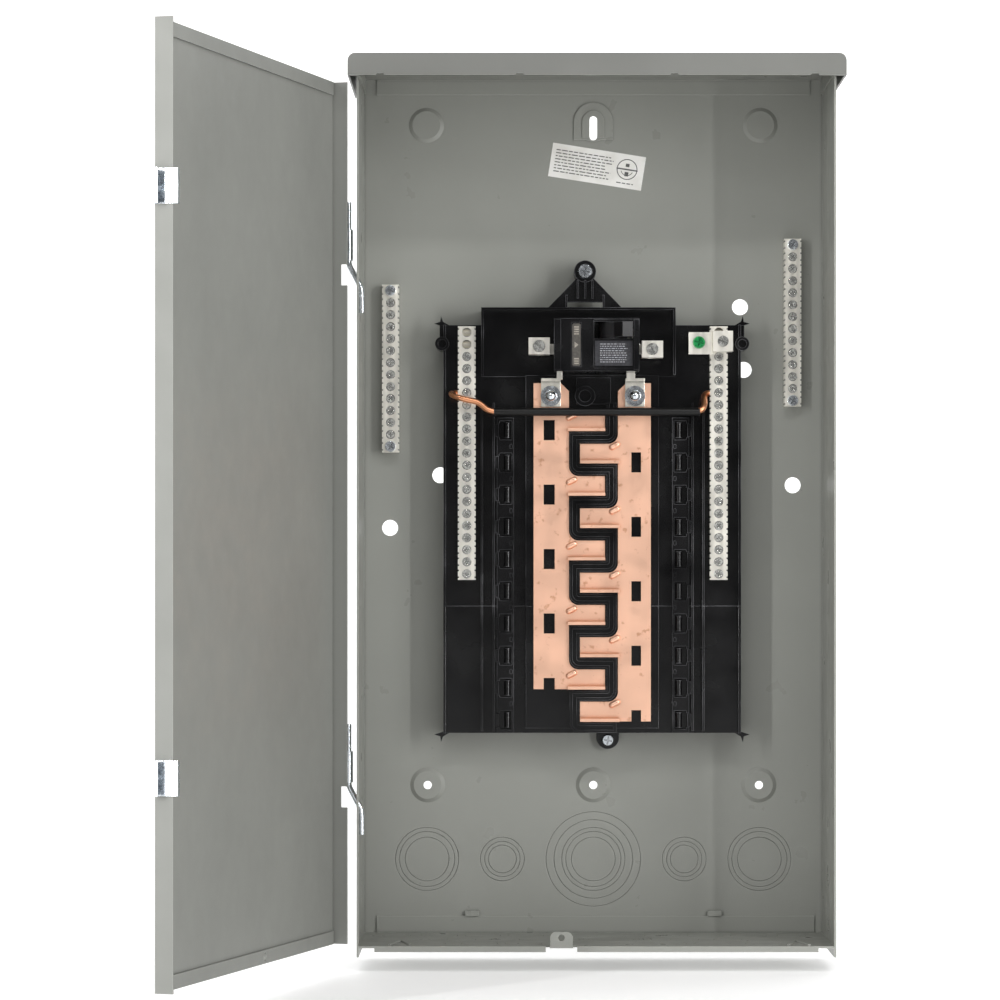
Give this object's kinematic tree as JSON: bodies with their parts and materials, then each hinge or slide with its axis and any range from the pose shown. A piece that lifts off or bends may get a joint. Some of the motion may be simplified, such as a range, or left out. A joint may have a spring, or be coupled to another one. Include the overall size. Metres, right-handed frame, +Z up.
{
  "type": "residential load center",
  "caption": "Outdoor rain-tight load center box with a hinged door, its interior base, interleaved copper bus, main breaker, neutral bars and ground bars.",
  "frame": {"origin": "centre of the back's outer face, which rests against the wall", "axes": "+Z up, -Y out of the front, +X to the right as seen from the front"},
  "size_m": [0.4988, 0.4811, 0.691],
  "materials": {
    "box_paint": "semi-gloss grey enamel",
    "door_paint": "semi-gloss grey enamel",
    "zinc": "bright zinc plate",
    "screw_metal": "dull plated steel",
    "tinned": "tin-plated, satin",
    "bus_copper": "satin copper",
    "bare_copper": "bare drawn copper",
    "base_plastic": "glossy black moulding",
    "breaker_plastic": "black moulding",
    "handle_plastic": "black moulding",
    "sleeve_plastic": "soft black sleeve",
    "green_screw": "green dyed plate",
    "label_paper": "white paper label"
  },
  "bodies": {
    "box": {"enclosure_wrapper": "box_paint", "bottom_endwall": "box_paint", "top_endwall": "box_paint", "rain_hood": "box_paint", "hinge_rods": "zinc", "upper_base": "base_plastic", "lower_base": "base_plastic", "hook_rail_left": "base_plastic", "hook_rail_right": "base_plastic", "bus_left": "bus_copper", "bus_right": "bus_copper", "bus_barrier": "base_plastic", "breaker_base": "breaker_plastic", "breaker_cover": "breaker_plastic", "handle_pin": "zinc", "line_straps": "tinned", "load_straps": "tinned", "strap_screws": "zinc", "line_lugs": "tinned", "lug_screws": "screw_metal", "neutral_bar_left": "tinned", "neutral_bar_right": "tinned", "neutral_screws": "screw_metal", "neutral_lug": "tinned", "neutral_lug_screw": "screw_metal", "bonding_plate": "tinned", "bonding_screw": "green_screw", "cross_wire": "bare_copper", "wire_sleeve": "sleeve_plastic", "ground_bar_left": "tinned", "ground_bar_right": "tinned", "ground_screws": "screw_metal", "ground_bar_screws": "zinc", "base_screws": "zinc", "circuit_label": "label_paper"},
    "door": {"door_panel": "door_paint", "door_knuckles": "zinc", "door_catches": "zinc"},
    "handle": {"breaker_handle": "handle_plastic"},
    "contacts": {"contact_arms": "bus_copper"}
  },
  "joints": [
    {"name": "door_hinge", "type": "hinge", "parent": "box", "child": "door", "pos_m": [-0.1905, -0.11265, 0], "axis": [0, 0, 1], "range_deg": [-74, 106]},
    {"name": "handle_toggle", "type": "hinge", "parent": "box", "child": "handle", "pos_m": [0.0146, -0.0584, 0.1398], "axis": [0, 0, -1], "range_deg": [0, 50]},
    {"name": "contact_swing", "type": "hinge", "parent": "box", "child": "contacts", "pos_m": [0, -0.036, 0.118], "axis": [1, 0, 0], "range_deg": [0, 15]}
  ],
  "couplings": [
    {"joint": "contact_swing", "follows": "handle_toggle", "ratio": 0.3}
  ]
}
